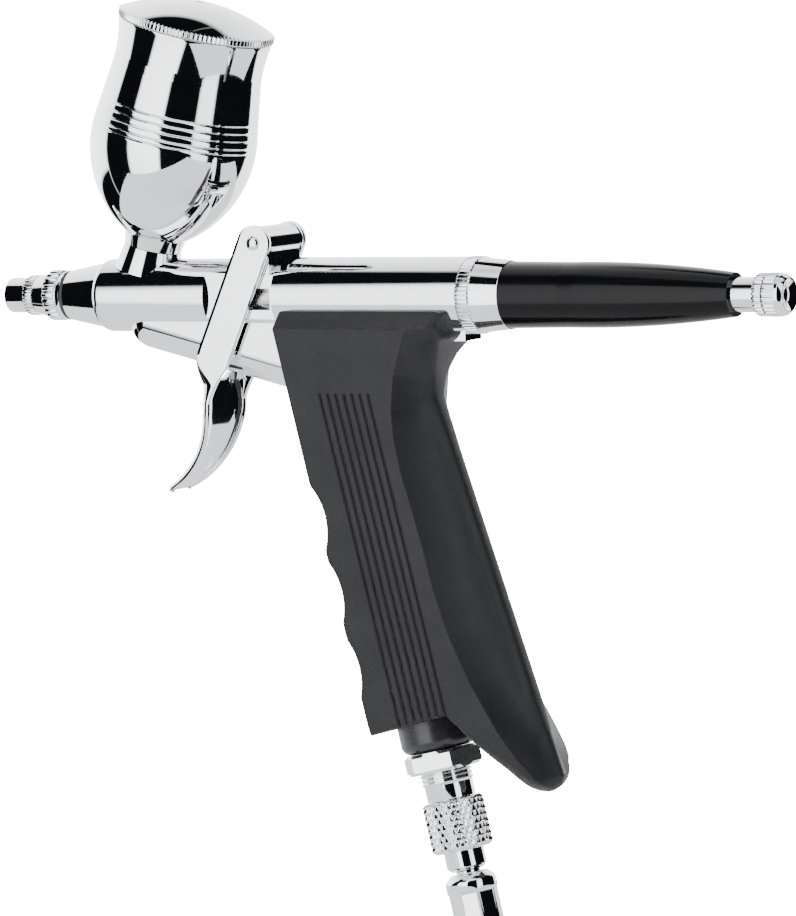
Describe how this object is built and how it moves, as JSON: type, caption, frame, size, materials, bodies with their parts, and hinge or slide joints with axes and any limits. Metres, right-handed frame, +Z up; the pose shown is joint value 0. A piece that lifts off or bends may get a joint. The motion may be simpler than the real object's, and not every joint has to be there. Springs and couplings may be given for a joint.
{
  "type": "airbrush gun",
  "caption": "Pistol-grip trigger airbrush with a leaning gravity paint cup, chrome barrel, black tail handle, dark moulded grip and a hose fitting below.",
  "frame": {"origin": "where the spray leaves: the centre of the needle cap's front rim, on the needle's axis", "axes": "+X back along the needle towards the tail knob, +Y to the gun's left, +Z up, towards the paint cup"},
  "size_m": [0.164, 0.031, 0.1775],
  "materials": {
    "chrome": "mirror polished chrome plate",
    "steel": "ground stainless steel",
    "spring_steel": "drawn spring wire",
    "brass": "turned brass",
    "white_seal": "plain white fluoropolymer",
    "black_seal": "matt black rubber",
    "black_gloss": "glossy black lacquer",
    "grip_plastic": "fine-grained matt moulding",
    "collar_plastic": "semi-gloss black"
  },
  "bodies": {
    "gun": {"needle_cap": "chrome", "nozzle_cap": "chrome", "nozzle": "brass", "head_seal": "black_seal", "nose_cone": "chrome", "main_body": "chrome", "paint_cup": "chrome", "needle_packing": "white_seal", "packing_screw": "brass", "needle_spring": "spring_steel", "spring_guide": "steel", "rear_ring": "chrome", "handle_sleeve": "black_gloss", "tail_bush": "chrome", "pivot_pin": "chrome", "valve_packing": "white_seal", "valve_seat": "brass", "valve_spring": "spring_steel", "valve_screw": "steel", "air_tube": "steel", "grip": "grip_plastic", "grip_collar": "collar_plastic", "inlet_fitting": "chrome", "hose_washer": "black_seal", "hose_tail": "chrome", "ferrule": "chrome"},
    "trigger": {"trigger": "chrome", "trigger_studs": "steel"},
    "needle_train": {"needle": "steel", "needle_slide": "steel", "chuck_nut": "steel"},
    "valve": {"valve_plunger": "steel"},
    "lid": {"cup_lid": "chrome"},
    "stop": {"stop_screw": "steel"},
    "knob": {"preset_knob": "chrome"},
    "lock": {"lock_ring": "chrome"},
    "nut": {"hose_nut": "chrome"}
  },
  "joints": [
    {"name": "trigger_pull", "type": "hinge", "parent": "gun", "child": "trigger", "pos_m": [0.0576, 0, 0.01], "axis": [0, -1, 0], "range_deg": [0, 18], "stiffness_Nm_per_rad": 0.15, "springref_deg": -20.05},
    {"name": "needle_travel", "type": "slide", "parent": "gun", "child": "needle_train", "axis": [1, 0, 0], "range_m": [0, 0.0036], "deforming": ["needle_spring"]},
    {"name": "valve_travel", "type": "slide", "parent": "gun", "child": "valve", "axis": [0.2147, 0, -0.9767], "range_m": [0, 0.0014], "deforming": ["valve_spring"]},
    {"name": "lid_lift", "type": "slide", "parent": "gun", "child": "lid", "axis": [0.2672, 0, 0.9636], "range_m": [0, 0.015]},
    {"name": "knob_turn", "type": "hinge", "parent": "stop", "child": "knob", "pos_m": [0.162, 0, 0], "axis": [1, 0, 0], "range_deg": [0, 1080]},
    {"name": "stop_advance", "type": "slide", "parent": "gun", "child": "stop", "axis": [1, 0, 0], "range_m": [0, 0.0015]},
    {"name": "lock_ring_turn", "type": "hinge", "parent": "gun", "child": "lock", "pos_m": [0.159, 0, 0], "axis": [1, 0, 0], "range_deg": [-60, 60]},
    {"name": "hose_nut_turn", "type": "hinge", "parent": "gun", "child": "nut", "pos_m": [0.09246, 0, -0.09669], "axis": [0.2147, 0, -0.9767], "continuous": true}
  ],
  "couplings": [
    {"joint": "needle_travel", "follows": "trigger_pull", "m_per_rad": 0.01105},
    {"joint": "valve_travel", "follows": "trigger_pull", "m_per_rad": 0.00414},
    {"joint": "knob_turn", "follows": "stop_advance", "rad_per_m": 12566}
  ]
}
